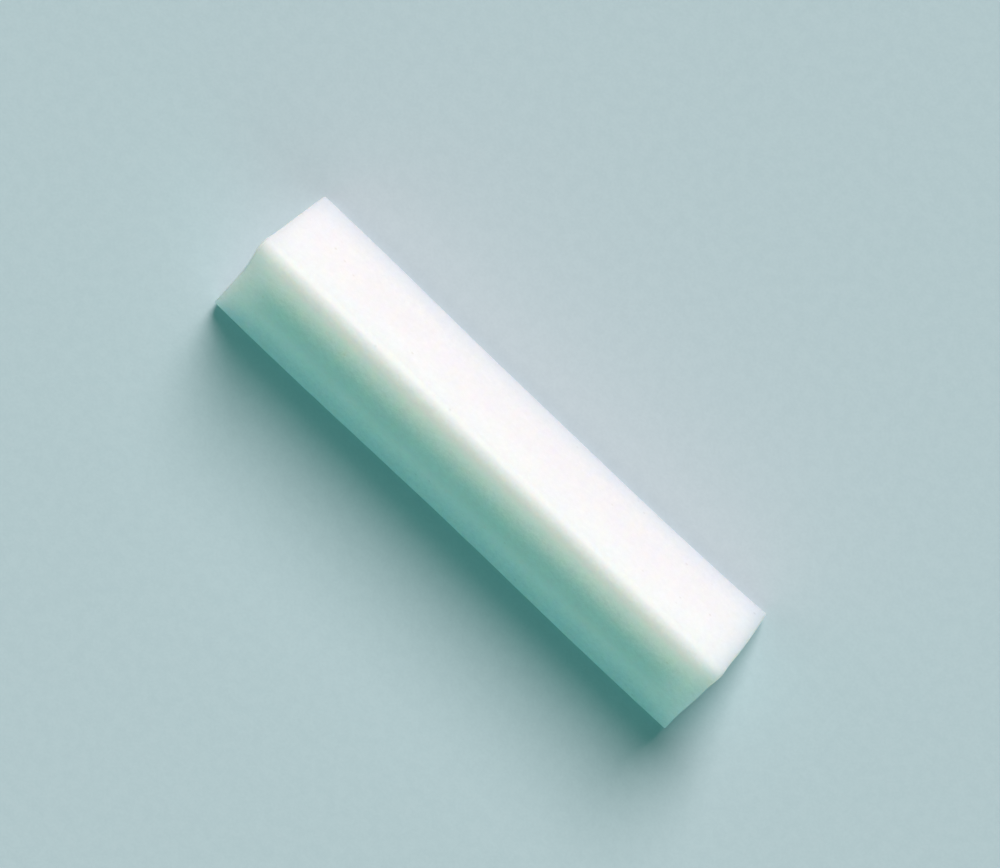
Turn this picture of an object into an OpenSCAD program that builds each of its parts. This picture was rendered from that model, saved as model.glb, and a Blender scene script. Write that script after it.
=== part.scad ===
// Triangular magnetic stir bar: a magnet rod sealed in a seamless moulded PTFE jacket.
// The bar lies along X on one of its three long faces, with a rounded ridge on top.
// Sizes are in millimetres. The origin is on the resting face, under the bar's middle.

/* [Magnet rod] */
// Diameter of the magnet rod
magnet_d = 6; // [3:0.5:12]
// Length of the magnet rod
magnet_length = 45; // [10:1:90]
// Chamfer round each end of the rod
magnet_chamfer = 0.4; // [0.1:0.1:1]

/* [PTFE jacket] */
// Thickness of PTFE over the rod, along the middle of each long face
face_wall = 1; // [0.6:0.1:2.4]
// Thickness of PTFE beyond each end of the rod
end_wall = 2.5; // [1:0.1:6]
// Radius of the three rounded long edges
ridge_radius = 1; // [0.5:0.1:1.8]
// Radius that softens the edges round each end face
end_radius = 0.2; // [0.05:0.05:0.4]
// Clearance round the rod, nought where the PTFE has shrunk onto it
rod_clearance = 0; // [0:0.01:0.1]

/* [Hidden] */
$fn = 96;
ridge_fn = 48;
corner_fn = 16;

// All three long faces are the same distance from the bar's axis
axis_height = magnet_d / 2 + rod_clearance + face_wall;
bar_length = magnet_length + 2 * (rod_clearance + end_wall);

// The ridges are rounded about the corners of an equilateral triangle round the axis
ridge_directions = [90, 210, 330];
ridge_centre = 2 * (axis_height - ridge_radius);

// Takes what is drawn about Z and lays it along the bar, with Y turned up
module along_bar() {
    translate([0, 0, axis_height])
        rotate([90, 0, 90])
            children();
}

// A ring whose outside is a ridge's radius and whose rim is the end faces' soft edge
module ridge_end() {
    rotate_extrude($fn = ridge_fn)
        translate([ridge_radius - end_radius, 0])
            circle(r = end_radius, $fn = corner_fn);
}

// The moulded outside: flat faces stretched over the six ridge ends
module rounded_prism() {
    hull()
        for (direction = ridge_directions, end = [-1, 1])
            rotate([0, 0, direction])
                translate([ridge_centre, 0, end * (bar_length / 2 - end_radius)])
                    ridge_end();
}

// The chamfered rod about Z, with an even gap added all round for the space that holds it
module rod(gap = 0) {
    radius = magnet_d / 2 + gap;
    half_length = magnet_length / 2 + gap;
    rotate_extrude()
        polygon([
            [0, -half_length],
            [radius - magnet_chamfer, -half_length],
            [radius, magnet_chamfer - half_length],
            [radius, half_length - magnet_chamfer],
            [radius - magnet_chamfer, half_length],
            [0, half_length]
        ]);
}

module ptfe_jacket() {
    color("white")
        along_bar()
            difference() {
                rounded_prism();
                rod(rod_clearance);
            }
}

module magnet_rod() {
    color("dimgray")
        along_bar()
            rod();
}

ptfe_jacket();
magnet_rod();
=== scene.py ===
import math
import bpy
from mathutils import Matrix, Vector


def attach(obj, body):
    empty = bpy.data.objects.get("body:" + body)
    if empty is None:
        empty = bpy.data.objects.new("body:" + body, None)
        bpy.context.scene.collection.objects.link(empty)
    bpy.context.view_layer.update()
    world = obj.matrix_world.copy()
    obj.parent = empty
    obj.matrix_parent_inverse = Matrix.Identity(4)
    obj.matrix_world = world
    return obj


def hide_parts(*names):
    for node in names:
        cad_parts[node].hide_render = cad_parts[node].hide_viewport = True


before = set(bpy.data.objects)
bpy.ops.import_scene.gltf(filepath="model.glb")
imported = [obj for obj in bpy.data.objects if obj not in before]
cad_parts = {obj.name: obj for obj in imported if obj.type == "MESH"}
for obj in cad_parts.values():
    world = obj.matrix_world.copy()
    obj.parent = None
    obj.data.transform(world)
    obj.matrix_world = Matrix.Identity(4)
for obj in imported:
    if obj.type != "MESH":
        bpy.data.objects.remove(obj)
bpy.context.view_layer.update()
mm = 0.001  # every size below is in millimetres
noiseRange = (0.3, 0.7)  # noise seldom leaves this range
print("frame loaded:", ", ".join(sorted(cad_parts)))


# a socket takes a link from another socket, or else a plain value
def feed(tree, value, socket):
    if isinstance(value, bpy.types.NodeSocket):
        tree.links.new(value, socket)
    else:
        socket.default_value = value


def put(tree, kind, inputs=None, **settings):
    made = tree.nodes.new(kind)
    for name, value in settings.items():
        setattr(made, name, value)
    for name, value in (inputs or {}).items():
        feed(tree, value, made.inputs[name])
    return made


def calc(tree, operation, *values):
    return put(tree, "ShaderNodeMath", dict(enumerate(values)), operation=operation).outputs[0]


def vectorCalc(tree, operation, *values):
    made = put(tree, "ShaderNodeVectorMath", operation=operation)
    for socket, value in zip(made.inputs, values):
        feed(tree, value, socket)
    return made.outputs["Value" if operation == "DISTANCE" else "Vector"]


def remap(tree, value, start, end, low=0.0, high=1.0, curve="SMOOTHSTEP"):
    sockets = {"Value": value, "From Min": start, "From Max": end, "To Min": low, "To Max": high}
    return put(tree, "ShaderNodeMapRange", sockets, interpolation_type=curve).outputs["Result"]


def combine(tree, x=0.0, y=0.0, z=0.0):
    return put(tree, "ShaderNodeCombineXYZ", {"X": x, "Y": y, "Z": z}).outputs["Vector"]


def newSockets(tree, direction, sockets):
    for name, value in sockets.items():
        kind = {float: "Float", int: "Int", tuple: "Vector", str: value}[type(value)]
        made = tree.interface.new_socket(name=name, in_out=direction, socket_type="NodeSocket" + kind)
        if not isinstance(value, str):
            made.default_value = value


# the jacket: one moulding, three long rounded ridges, closed at both ends
jacketPlan = {
    "Bar length": 50.0,  # over both end faces
    "Axis height": 4.0,  # from the resting face to the middle of the magnet
    "Ridge radius": 1.0,  # the three long edges
    "Rim radius": 0.2,  # round each end face
    "Hole radius": 1.0,  # a closed hole inside the magnet, kept narrow so that the walls stay white
    "Hole length": 45.0,
    "Hole points around": 72,
    "Hole rings": 45,
    "Hole rings on an end": 4,
    "Ridge facets": 24,  # round each long edge
    "Points around": 216,
    "Rings on an end": 14,
    "Rings on a rim": 5,
    "Rings along": 181,  # on the straight barrel
    "Unevenness": 1.0,  # 0 gives a bar with square ends and straight edges
    "Rim from": 6.5,  # between these heights, under the ridge, an end face takes on the line of its top rim
    "Rim to": 10.8,
    "Edge from": 0.8,  # between these distances from the ridge a side takes on the line of its bottom edge
    "Edge to": 5.5,
    "Face ripple": 0.02,
    "Ripple scale": 0.32,
    "Ripple detail": 2.0,
    "Dent place": (-6.6, -0.75, 10.8),  # one small dent beside the top ridge
    "Dent radius": 0.75,
    "Dent floor": 0.1,  # the radius of its deepest part
    "Dent depth": 0.06,
    "Flat foot": 0.6,  # ripples and dent fade out below this height, so that the resting face stays flat
    "Ripple seed": 18.0,
}

# how far the moulding falls short of its full size: across each end, from the front corner to the
# back one, and along each bottom edge, from the left end to the right one
shortfall = {
    "left end": [
        (-6.2, 0.0), (-4.2, 0.2), (-2.2, 0.33), (0.1, 0.15), (1.3, 0.28), (3.8, 0.44), (6.2, 0.6),
    ],
    "right end": [
        (-6.2, 0.04), (-4.2, 0.27), (-2.5, 0.3), (-1.1, 0.4),
        (0.0, 0.35), (1.1, 0.4), (2.8, 0.34), (6.2, 0.46),
    ],
    "end face": (0.06, 0.5),  # below the rim, at its front corner and at its back corner
    "back edge": [(-25, 0.0), (-18, 0.03), (-7, 0.19), (0, 0.23), (13, 0.26), (18.5, 0.2), (25, 0.0)],
    "front edge": [(-25, 0.07), (-18, 0.0), (-6, 0.07), (2, 0.1), (15, 0.0), (25, 0.05)],
}


# a smooth line through the given points
def along(tree, value, points):
    start, end = points[0][0], points[-1][0]
    share = remap(tree, value, start, end, curve="LINEAR")
    made = put(tree, "ShaderNodeFloatCurve", {"Value": share})
    spots = [((x - start) / (end - start), y) for x, y in points]
    curve = made.mapping.curves[0]
    curve.points[0].location = spots[0]
    curve.points[1].location = spots[-1]
    for spot in spots[1:-1]:
        curve.points.new(*spot)
    made.mapping.update()
    return made.outputs[0]


def jacketTree(plan, material):
    tree = bpy.data.node_groups.new("mouldedJacket", "GeometryNodeTree")
    newSockets(tree, "INPUT", plan)
    newSockets(tree, "OUTPUT", {"Geometry": "Geometry"})
    size = put(tree, "NodeGroupInput").outputs

    # section: a triangle with its corners rounded, ridge up
    triangle = put(tree, "GeometryNodeCurvePrimitiveCircle", {
        "Resolution": 3,
        "Radius": calc(tree, "MULTIPLY", size["Axis height"], 2.0),
    }).outputs["Curve"]
    section = put(tree, "GeometryNodeFilletCurve", {
        "Curve": triangle,
        "Radius": size["Ridge radius"],
        "Count": size["Ridge facets"],
    }, mode="POLY")

    # one flat sheet of points: rings along its X, points around along its Y
    capRings = size["Rings on an end"]
    rimRings = size["Rings on a rim"]
    sideRings = calc(tree, "ADD", capRings, rimRings)
    rings = calc(tree, "ADD", size["Rings along"], calc(tree, "MULTIPLY", sideRings, 2.0))
    sheet = put(tree, "GeometryNodeMeshGrid", {
        "Size X": 1.0,
        "Size Y": 1.0,
        "Vertices X": rings,
        "Vertices Y": calc(tree, "ADD", size["Points around"], 1.0),
    }).outputs["Mesh"]
    onSheet = put(tree, "GeometryNodeInputPosition").outputs[0]
    place = put(tree, "ShaderNodeSeparateXYZ", {"Vector": onSheet}).outputs
    lastRing = calc(tree, "SUBTRACT", rings, 1.0)
    ring = calc(tree, "ROUND", calc(tree, "MULTIPLY", calc(tree, "ADD", place["X"], 0.5), lastRing))
    fromEnd = calc(tree, "MINIMUM", ring, calc(tree, "SUBTRACT", lastRing, ring))
    side = calc(tree, "SIGN", place["X"])

    # end face, then rim, then barrel, counted from the nearer end
    spread = calc(tree, "MINIMUM", calc(tree, "DIVIDE", fromEnd, capRings), 1.0)
    rimShare = remap(tree, fromEnd, capRings, sideRings, curve="LINEAR")
    rimAngle = calc(tree, "MULTIPLY", rimShare, math.pi / 2)
    barrelShare = remap(tree, fromEnd, sideRings, calc(tree, "DIVIDE", lastRing, 2.0), curve="LINEAR")
    rim = size["Rim radius"]
    flatLength = calc(tree, "SUBTRACT", calc(tree, "DIVIDE", size["Bar length"], 2.0), rim)
    reach = calc(tree, "ADD",
                 calc(tree, "MULTIPLY", flatLength, calc(tree, "SUBTRACT", 1.0, barrelShare)),
                 calc(tree, "MULTIPLY", rim, calc(tree, "COSINE", rimAngle)))
    inset = calc(tree, "MULTIPLY", rim, calc(tree, "SUBTRACT", 1.0, calc(tree, "SINE", rimAngle)))
    onSection = put(tree, "GeometryNodeSampleCurve", {
        "Curves": section.outputs[0],
        "Factor": calc(tree, "ADD", place["Y"], 0.5),
    }, mode="FACTOR").outputs
    outward = vectorCalc(tree, "CROSS_PRODUCT", onSection["Tangent"], (0.0, 0.0, 1.0))
    drawnIn = put(tree, "ShaderNodeVectorMath", {0: outward}, operation="SCALE")
    feed(tree, inset, drawnIn.inputs["Scale"])
    spreadOut = put(tree, "ShaderNodeVectorMath", {
        0: vectorCalc(tree, "SUBTRACT", onSection["Position"], drawnIn.outputs[0]),
    }, operation="SCALE")
    feed(tree, spread, spreadOut.inputs["Scale"])
    inSection = put(tree, "ShaderNodeSeparateXYZ", {0: spreadOut.outputs[0]}).outputs
    bar = put(tree, "GeometryNodeSetPosition", {
        "Geometry": sheet,
        "Position": combine(tree,
                            calc(tree, "MULTIPLY", side, reach),
                            inSection["Y"],
                            calc(tree, "ADD", size["Axis height"], inSection["X"])),
    }).outputs[0]
    weldGap = 0.002  # closes the seam along the sheet and the middle of each end face
    bar = put(tree, "GeometryNodeMergeByDistance", {"Geometry": bar, "Distance": weldGap}).outputs[0]

    # as moulded and as used: ends not quite square, bowed bottom edges, soft ripples, one dent
    point = put(tree, "GeometryNodeInputPosition").outputs[0]
    at = put(tree, "ShaderNodeSeparateXYZ", {"Vector": point}).outputs

    # the end faces: an uneven top rim, running down into a plain sloping face
    leftRim = along(tree, at["Y"], shortfall["left end"])
    rightRim = along(tree, at["Y"], shortfall["right end"])
    isLeft = put(tree, "FunctionNodeCompare", {"A": at["X"], "B": 0.0}, operation="LESS_THAN").outputs[0]
    topRim = put(tree, "GeometryNodeSwitch", {
        "Switch": isLeft,
        "False": rightRim,
        "True": leftRim,
    }, input_type="FLOAT").outputs[0]
    halfWidth = shortfall["left end"][-1][0]
    face = remap(tree, at["Y"], -halfWidth, halfWidth, *shortfall["end face"], curve="LINEAR")
    outwards = calc(tree, "MULTIPLY", calc(tree, "ABSOLUTE", at["Y"]), math.sqrt(3))
    nearRim = remap(tree, calc(tree, "ADD", at["Z"], outwards), size["Rim from"], size["Rim to"])
    fromFace = calc(tree, "SUBTRACT", topRim, face)
    setBack = calc(tree, "ADD", face, calc(tree, "MULTIPLY", nearRim, fromFace))
    towardsMiddle = calc(tree, "DIVIDE", at["X"], calc(tree, "DIVIDE", size["Bar length"], -2.0))
    setBack = calc(tree, "MULTIPLY", setBack, towardsMiddle)

    # the bottom edges: both pulled in towards the middle of the bar
    def edgeLine(name, outward):
        fromRidge = calc(tree, "MULTIPLY", at["Y"], outward)
        nearEdge = remap(tree, fromRidge, size["Edge from"], size["Edge to"])
        return calc(tree, "MULTIPLY", along(tree, at["X"], shortfall[name]), nearEdge)

    pulledIn = calc(tree, "SUBTRACT", edgeLine("front edge", -1.0), edgeLine("back edge", 1.0))

    faceNoise = put(tree, "ShaderNodeTexNoise", {
        "Vector": point,
        "W": size["Ripple seed"],
        "Scale": size["Ripple scale"],
        "Detail": size["Ripple detail"],
    }, noise_dimensions="4D").outputs[0]
    offDent = vectorCalc(tree, "DISTANCE", point, size["Dent place"])
    inDent = remap(tree, offDent, size["Dent radius"], size["Dent floor"])
    sunk = calc(tree, "ADD",
                calc(tree, "MULTIPLY", faceNoise, size["Face ripple"]),
                calc(tree, "MULTIPLY", size["Dent depth"], inDent))
    sunk = calc(tree, "MULTIPLY", sunk, remap(tree, at["Z"], 0.0, size["Flat foot"]))
    normal = put(tree, "GeometryNodeInputNormal").outputs[0]
    sunkBy = put(tree, "ShaderNodeVectorMath", {0: normal}, operation="SCALE")
    feed(tree, calc(tree, "MULTIPLY", sunk, -1.0), sunkBy.inputs["Scale"])
    moved = put(tree, "ShaderNodeVectorMath", {
        0: vectorCalc(tree, "ADD", combine(tree, setBack, pulledIn, 0.0), sunkBy.outputs[0]),
    }, operation="SCALE")
    feed(tree, size["Unevenness"], moved.inputs["Scale"])
    bar = put(tree, "GeometryNodeSetPosition", {"Geometry": bar, "Offset": moved.outputs[0]}).outputs[0]

    # the closed hole in the middle
    cavity = put(tree, "GeometryNodeMeshCylinder", {
        "Vertices": size["Hole points around"],
        "Side Segments": size["Hole rings"],
        "Fill Segments": size["Hole rings on an end"],
        "Radius": size["Hole radius"],
        "Depth": size["Hole length"],
    }, fill_type="TRIANGLE_FAN").outputs["Mesh"]
    cavity = put(tree, "GeometryNodeFlipFaces", {"Mesh": cavity}).outputs[0]
    cavity = put(tree, "GeometryNodeTransform", {
        "Geometry": cavity,
        "Translation": combine(tree, 0.0, 0.0, size["Axis height"]),
        "Rotation": (0.0, math.pi / 2, 0.0),
    }).outputs[0]

    whole = put(tree, "GeometryNodeJoinGeometry")
    tree.links.new(cavity, whole.inputs[0])
    tree.links.new(bar, whole.inputs[0])
    whole = put(tree, "GeometryNodeTransform", {
        "Geometry": whole.outputs[0],
        "Scale": (mm, mm, mm),
    }).outputs[0]
    whole = put(tree, "GeometryNodeSetShadeSmooth", {"Geometry": whole}).outputs[0]
    whole = put(tree, "GeometryNodeRealizeInstances", {"Geometry": whole}).outputs[0]
    whole = put(tree, "GeometryNodeSetMaterial", {"Geometry": whole, "Material": material}).outputs[0]
    put(tree, "NodeGroupOutput", {0: whole})
    return tree


# runs the tree once and keeps its result as a plain mesh
def fromTree(name, tree, plan, material):
    maker = bpy.data.objects.new(name + "Maker", bpy.data.meshes.new(name + "Maker"))
    bpy.context.scene.collection.objects.link(maker)
    modifier = maker.modifiers.new("shape", "NODES")
    modifier.node_group = tree
    for item in tree.interface.items_tree:
        if item.in_out == "INPUT":
            modifier[item.identifier] = plan[item.name]
    ready = maker.evaluated_get(bpy.context.evaluated_depsgraph_get())
    mesh = bpy.data.meshes.new_from_object(ready)
    maker.modifiers.remove(modifier)
    bpy.data.objects.remove(maker)
    mesh.name = name
    mesh.materials.clear()
    mesh.materials.append(material)
    made = bpy.data.objects.new(name, mesh)
    bpy.context.scene.collection.objects.link(made)
    return made


def newMaterial(name, shading):
    material = bpy.data.materials.new(name)
    material.use_nodes = True
    shader = material.node_tree.nodes["Principled BSDF"]
    for socket, value in shading.items():
        shader.inputs[socket].default_value = value
    return material, material.node_tree, shader


def blend(tree, factor, first, second, mode="MIX"):
    made = put(tree, "ShaderNodeMix", data_type="RGBA", blend_type=mode)
    colours = [s for s in made.inputs if s.type == "RGBA"]
    feed(tree, factor, made.inputs[0])
    feed(tree, first, colours[0])
    feed(tree, second, colours[1])
    return [s for s in made.outputs if s.type == "RGBA"][0]


def noise(tree, vector, scale, detail=2.0, roughness=0.5):
    sockets = {"Vector": vector, "Scale": scale, "Detail": detail, "Roughness": roughness}
    return put(tree, "ShaderNodeTexNoise", sockets).outputs["Fac"]


def inMillimetres(tree):
    spot = put(tree, "ShaderNodeTexCoord").outputs["Object"]
    return put(tree, "ShaderNodeMapping", {"Vector": spot, "Scale": (1 / mm,) * 3}).outputs["Vector"]


# fine surface grain, soft clouding and a few specks, shared by every material here
def grainGroup():
    tree = bpy.data.node_groups.new("surfaceGrain", "ShaderNodeTree")
    newSockets(tree, "INPUT", {
        "Vector": (0.0, 0.0, 0.0),
        "Cloud size": 3.0,
        "Grain size": 0.3,
        "Speck spacing": 2.5,
        "Speck size": 0.08,
        "Speck share": 0.3,
    })
    newSockets(tree, "OUTPUT", {"Cloud": "Float", "Grain": "Float", "Speck": "Float"})
    given = put(tree, "NodeGroupInput").outputs
    cloud = noise(tree, given["Vector"], calc(tree, "DIVIDE", 1.0, given["Cloud size"]), 3.0)
    coarse = noise(tree, given["Vector"], calc(tree, "DIVIDE", 0.5, given["Grain size"]), 2.0, 0.6)
    fine = noise(tree, given["Vector"], calc(tree, "DIVIDE", 2.0, given["Grain size"]), 1.0)
    cell = put(tree, "ShaderNodeTexVoronoi", {
        "Vector": given["Vector"],
        "Scale": calc(tree, "DIVIDE", 1.0, given["Speck spacing"]),
    }).outputs
    reach = calc(tree, "DIVIDE", given["Speck size"], given["Speck spacing"])
    dot = remap(tree, cell["Distance"], reach, 0.0)
    chance = put(tree, "ShaderNodeSeparateColor", {"Color": cell["Color"]}).outputs[0]
    chosen = calc(tree, "LESS_THAN", chance, given["Speck share"])
    coarseShare = 0.65  # the rest of the grain is fine
    mixed = calc(tree, "ADD",
                 calc(tree, "MULTIPLY", coarse, coarseShare),
                 calc(tree, "MULTIPLY", fine, 1.0 - coarseShare))
    put(tree, "NodeGroupOutput", {
        "Cloud": cloud,
        "Grain": mixed,
        "Speck": calc(tree, "MULTIPLY", dot, chosen),
    })
    return tree


surfaceGrain = grainGroup()


def grain(tree, vector, sizes):
    made = put(tree, "ShaderNodeGroup", node_tree=surfaceGrain)
    feed(tree, vector, made.inputs["Vector"])
    for name, value in sizes.items():
        feed(tree, value, made.inputs[name])
    return made.outputs


def addBump(tree, height, look, shader):
    made = put(tree, "ShaderNodeBump", {
        "Height": height,
        "Strength": look["bump"],
        "Distance": look["bumpHeight"] * mm,
    })
    feed(tree, made.outputs["Normal"], shader.inputs["Normal"])


ptfeLook = {
    "white": (0.915, 0.93, 0.92, 1.0),
    "bands": {  # lengthwise tones, painted light and shade, one of them also the magnet showing through: middle across the bar, half width with its soft edge, colour
        # painted highlight: the top ridge is lighter
        "painted ridge highlight": (0.0, 0.5, (0.99, 0.925, 1.0, 1.0)),
        # painted light: a warm glow just past the top ridge, on the shaded front face
        "painted warm glow": (-0.62, 0.9, (1.0, 0.87, 0.91, 1.0)),
        "magnet and painted shade": (-3.2, 1.7, (0.70, 0.82, 0.81, 1.0)),  # the magnet shows faintly through the thin wall, with painted shade where it blocks light through the bar; on the front face only
        # painted light: lighter low on the front face
        "painted light low on the front": (-4.9, 1.1, (1.0, 0.995, 0.96, 1.0)),
        # painted light: lighter low on the back face
        "painted light low on the back": (5.6, 1.7, (1.0, 0.99, 0.93, 1.0)),
    },
    "bandHeights": (0.4, 1.2),  # the bands fade in between these heights, and the resting face has none
    "bandFray": 0.6,  # how far the grain frays the edges of the bands
    "magnetEnds": (20.3, 23.8),  # where the magnet band and its painted shade fade out, from the middle of the bar
    # painted light: both ends of the bar lighter
    "paintedEndLight": (1.0, 0.995, 0.95, 1.0),
    "paintedEndLightPlace": (21.8, 24.6),  # from the middle of the bar
    # painted shade: darker low down near the floor, much more on the front face
    "paintedContactShade": (0.66, 0.71, 0.70, 1.0),
    "paintedContactShadeHeights": (1.9, 0.3),
    "paintedContactShadeShare": (0.8, 0.15),  # on the front face, on the back face
    "mottle": (0.12, 0.06),  # on the front face, on the back face
    "mottlePlace": (-2.0, -1.0),
    "mottleClouding": 0.15,  # the rest of the mottle is grain
    "speck": (0.66, 0.64, 0.58, 1.0),
    "speckShare": 0.5,
    "grain": {
        "Cloud size": 2.6,
        "Grain size": 0.28,
        "Speck spacing": 1.3,
        "Speck size": 0.2,
        "Speck share": 0.3,
    },
    "roughness": (0.46, 0.58),
    "bump": 0.35,
    "bumpHeight": 0.02,
    "bumpClouding": 1.5,
    "shading": {
        "Subsurface Weight": 1.0,
        "Subsurface Scale": 10.5 * mm,
        "Subsurface Radius": (1.0, 0.72, 0.48),
        "IOR": 1.38,
        "Specular IOR Level": 0.35,
    },
}


def ptfe(look):
    material, tree, shader = newMaterial("moulded ptfe", look["shading"])
    spot = inMillimetres(tree)
    at = put(tree, "ShaderNodeSeparateXYZ", {"Vector": spot}).outputs
    fromMiddle = calc(tree, "ABSOLUTE", at["X"])
    surface = grain(tree, spot, look["grain"])
    frayed = calc(tree, "MULTIPLY", calc(tree, "SUBTRACT", surface["Grain"], 0.5), look["bandFray"])
    across = calc(tree, "ADD", at["Y"], frayed)

    sides = remap(tree, at["Z"], *look["bandHeights"])
    overMagnet = remap(tree, fromMiddle, *reversed(look["magnetEnds"]))
    colour = look["white"]
    # the bands paint light and shade along the bar; the magnet band is also the magnet showing through
    for name, (middle, halfWidth, tone) in look["bands"].items():
        offMiddle = calc(tree, "ABSOLUTE", calc(tree, "SUBTRACT", across, middle))
        band = calc(tree, "MULTIPLY", remap(tree, offMiddle, halfWidth, 0.0), sides)
        # the magnet band, with its painted shade, stops short of the ends
        if name == "magnet and painted shade":
            band = calc(tree, "MULTIPLY", band, overMagnet)
        colour = blend(tree, band, colour, tone)
    # painted light: lighter towards both ends
    colour = blend(tree, remap(tree, fromMiddle, *look["paintedEndLightPlace"]), colour, look["paintedEndLight"])

    # painted shade near the floor
    floorShadeShare = remap(tree, at["Y"], -0.5, 0.5, *look["paintedContactShadeShare"])
    floorShadeMask = calc(tree, "MULTIPLY", remap(tree, at["Z"], *look["paintedContactShadeHeights"]), floorShadeShare)
    colour = blend(tree, floorShadeMask, colour, look["paintedContactShade"])

    clouding = look["mottleClouding"]
    mottle = calc(tree, "ADD",
                  calc(tree, "MULTIPLY", surface["Cloud"], clouding),
                  calc(tree, "MULTIPLY", surface["Grain"], 1.0 - clouding))
    depth = remap(tree, at["Y"], *look["mottlePlace"], *look["mottle"])
    dark = calc(tree, "MULTIPLY", depth, remap(tree, mottle, *reversed(noiseRange), curve="LINEAR"))
    left = calc(tree, "SUBTRACT", 1.0, dark)
    grey = put(tree, "ShaderNodeCombineColor", {0: left, 1: left, 2: left}).outputs[0]
    colour = blend(tree, 1.0, colour, grey, "MULTIPLY")
    specks = calc(tree, "MULTIPLY", surface["Speck"], look["speckShare"])
    colour = blend(tree, specks, colour, look["speck"])
    feed(tree, colour, shader.inputs["Base Color"])

    smooth, rough = look["roughness"]
    feed(tree, remap(tree, surface["Cloud"], *noiseRange, smooth, rough), shader.inputs["Roughness"])
    clouds = calc(tree, "MULTIPLY", surface["Cloud"], look["bumpClouding"])
    addBump(tree, calc(tree, "ADD", surface["Grain"], clouds), look, shader)
    return material


magnetLook = {
    "metal": (0.30, 0.30, 0.31, 1.0),
    "dark": (0.10, 0.095, 0.09, 1.0),
    "pit": (0.03, 0.028, 0.025, 1.0),
    "grain": {
        "Cloud size": 1.4,
        "Grain size": 0.12,
        "Speck spacing": 0.7,
        "Speck size": 0.12,
        "Speck share": 0.45,
    },
    "roughness": (0.34, 0.62),
    "bump": 0.5,
    "bumpHeight": 0.02,
    "grindingPitch": 0.12,  # between the rings that the grinding wheel left
    "ringStretch": 0.15,  # lower makes each ring run further round the rod unbroken
    "ringContrast": (0.35, 0.65),  # closer together gives harder rings
    "stain": (0.45, 0.7),
    "stainShare": 0.5,
    "shading": {"Metallic": 1.0},
}


def magnetAlloy(look):
    material, tree, shader = newMaterial("ground magnet alloy", look["shading"])
    spot = inMillimetres(tree)
    surface = grain(tree, spot, look["grain"])
    squeeze = (1 / look["grindingPitch"], look["ringStretch"], look["ringStretch"])
    squeezed = put(tree, "ShaderNodeMapping", {"Vector": spot, "Scale": squeeze}).outputs["Vector"]
    rings = noise(tree, squeezed, 1.0, 3.0, 0.6)
    colour = blend(tree, remap(tree, rings, *look["ringContrast"]), look["dark"], look["metal"])
    stained = remap(tree, surface["Cloud"], *look["stain"], 0.0, look["stainShare"])
    colour = blend(tree, stained, colour, look["dark"])
    colour = blend(tree, surface["Speck"], colour, look["pit"])
    feed(tree, colour, shader.inputs["Base Color"])
    smooth, rough = look["roughness"]
    feed(tree, remap(tree, rings, *noiseRange, rough, smooth), shader.inputs["Roughness"])
    height = calc(tree, "SUBTRACT", calc(tree, "ADD", rings, surface["Grain"]), surface["Speck"])
    addBump(tree, height, look, shader)
    return material


jacketMaterial = ptfe(ptfeLook)
jacket = fromTree("moulded_jacket", jacketTree(jacketPlan, jacketMaterial), jacketPlan, jacketMaterial)
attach(jacket, "root")
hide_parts("ptfe_jacket")
print("jacket:", len(jacket.data.vertices), "points,", len(jacket.data.polygons), "faces")

magnetMaterial = magnetAlloy(magnetLook)
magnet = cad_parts["magnet_rod"]
magnet.data.materials.clear()
magnet.data.materials.append(magnetMaterial)
print("magnet dressed")

floorPlan = {
    "size": 6000.0,
    "colour": (0.52, 0.66, 0.74, 1.0),
    "shade": (0.47, 0.61, 0.69, 1.0),
    "grain": {
        "Cloud size": 9.0,
        "Grain size": 0.5,
        "Speck spacing": 4.0,
        "Speck size": 0.3,
        "Speck share": 0.2,
    },
    "mottle": 0.5,
    "bump": 0.2,
    "bumpHeight": 0.05,
    "shading": {"Roughness": 0.8, "Specular IOR Level": 0.1},
}


def paper(look):
    material, tree, shader = newMaterial("pale paper", look["shading"])
    surface = grain(tree, inMillimetres(tree), look["grain"])
    mottle = calc(tree, "MULTIPLY", remap(tree, surface["Grain"], *noiseRange), look["mottle"])
    feed(tree, blend(tree, mottle, look["colour"], look["shade"]), shader.inputs["Base Color"])
    addBump(tree, surface["Grain"], look, shader)
    return material


floorMesh = bpy.data.meshes.new("floor")
half = floorPlan["size"] * mm / 2
corners = [(-half, -half, 0), (half, -half, 0), (half, half, 0), (-half, half, 0)]
floorMesh.from_pydata(corners, [], [(0, 1, 2, 3)])
floor = bpy.data.objects.new("floor", floorMesh)
bpy.context.scene.collection.objects.link(floor)
floorMesh.materials.append(paper(floorPlan))

lightPlan = {
    "key": {
        "toward": (-0.28, 0.96),  # where the lamp stands, seen from above
        "height": 41.5,  # above the floor, in degrees
        "spread": 30.0,  # wider gives softer shadows
        "strength": 3.75,
        "colour": (0.985, 0.812, 0.775),
    },
    "fill": {
        "toward": (0.3, -0.95),
        "height": 16.0,
        "spread": 95.0,
        "strength": 1.25,
        "colour": (0.25, 1.0, 0.77),
    },
}


def addSun(name, plan):
    lamp = bpy.data.lights.new(name, "SUN")
    lamp.energy = plan["strength"]
    lamp.angle = math.radians(plan["spread"])
    lamp.color = plan["colour"]
    rise = math.radians(plan["height"])
    flat = Vector(plan["toward"]).normalized() * math.cos(rise)
    holder = bpy.data.objects.new(name, lamp)
    holder.rotation_mode = "QUATERNION"
    holder.rotation_quaternion = Vector((flat.x, flat.y, math.sin(rise))).to_track_quat("Z", "Y")
    bpy.context.scene.collection.objects.link(holder)


for name, plan in lightPlan.items():
    addSun(name, plan)

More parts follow.
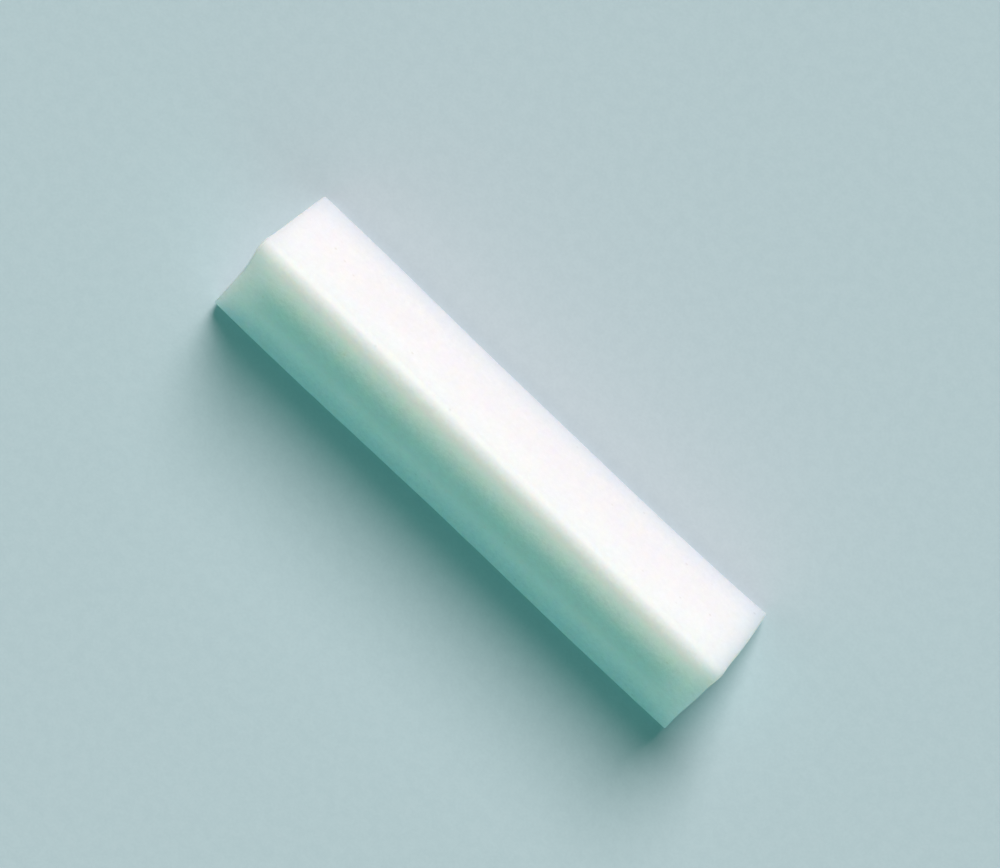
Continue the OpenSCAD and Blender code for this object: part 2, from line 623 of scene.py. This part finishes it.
studioPlan = {
    "seen": (0.66, 0.75, 0.80, 1.0),  # behind the object, and in reflections
    "soft": (0.6, 1.0, 0.95, 1.0),
    "softStrength": 0.1,
}


def studio(plan):
    world = bpy.data.worlds.new("studio")
    world.use_nodes = True
    tree = world.node_tree
    seen = tree.nodes["Background"]
    seen.inputs["Color"].default_value = plan["seen"]
    soft = put(tree, "ShaderNodeBackground", {"Color": plan["soft"], "Strength": plan["softStrength"]})
    ray = put(tree, "ShaderNodeLightPath").outputs
    bent = calc(tree, "MAXIMUM", ray["Is Glossy Ray"], ray["Is Transmission Ray"])
    shown = calc(tree, "MAXIMUM", ray["Is Camera Ray"], bent)
    both = put(tree, "ShaderNodeMixShader", {0: shown, 1: soft.outputs[0], 2: seen.outputs[0]})
    tree.links.new(both.outputs[0], tree.nodes["World Output"].inputs["Surface"])
    return world


bpy.context.scene.world = studio(studioPlan)

cameraPlan = {
    "lookAt": (-0.995, 1.962, 4.0),  # the point in the middle of the picture
    "distance": 377.2,
    "towardCamera": (0.0, 0.0, 1.0),
    "pictureRight": (0.7263, 0.6874, 0.0),  # the bar runs down to the right
    "lens": 170.28,
    "sensorWidth": 36.0,
    "nearest": 0.01,  # what lies between these distances shows, in metres
    "farthest": 20.0,
}


def addCamera(plan):
    back = Vector(plan["towardCamera"]).normalized()
    right = Vector(plan["pictureRight"])
    up = back.cross(right).normalized()
    right = up.cross(back)
    eye = (Vector(plan["lookAt"]) + back * plan["distance"]) * mm
    camera = bpy.data.cameras.new("camera")
    camera.lens = plan["lens"]
    camera.sensor_width = plan["sensorWidth"]
    camera.clip_start = plan["nearest"]
    camera.clip_end = plan["farthest"]
    holder = bpy.data.objects.new("camera", camera)
    turn = Matrix((right, up, back)).transposed().to_4x4()
    holder.matrix_world = Matrix.Translation(eye) @ turn
    bpy.context.scene.collection.objects.link(holder)
    bpy.context.scene.camera = holder


addCamera(cameraPlan)
bpy.context.scene.view_settings.view_transform = "Standard"
print("floor, lights and camera are set")
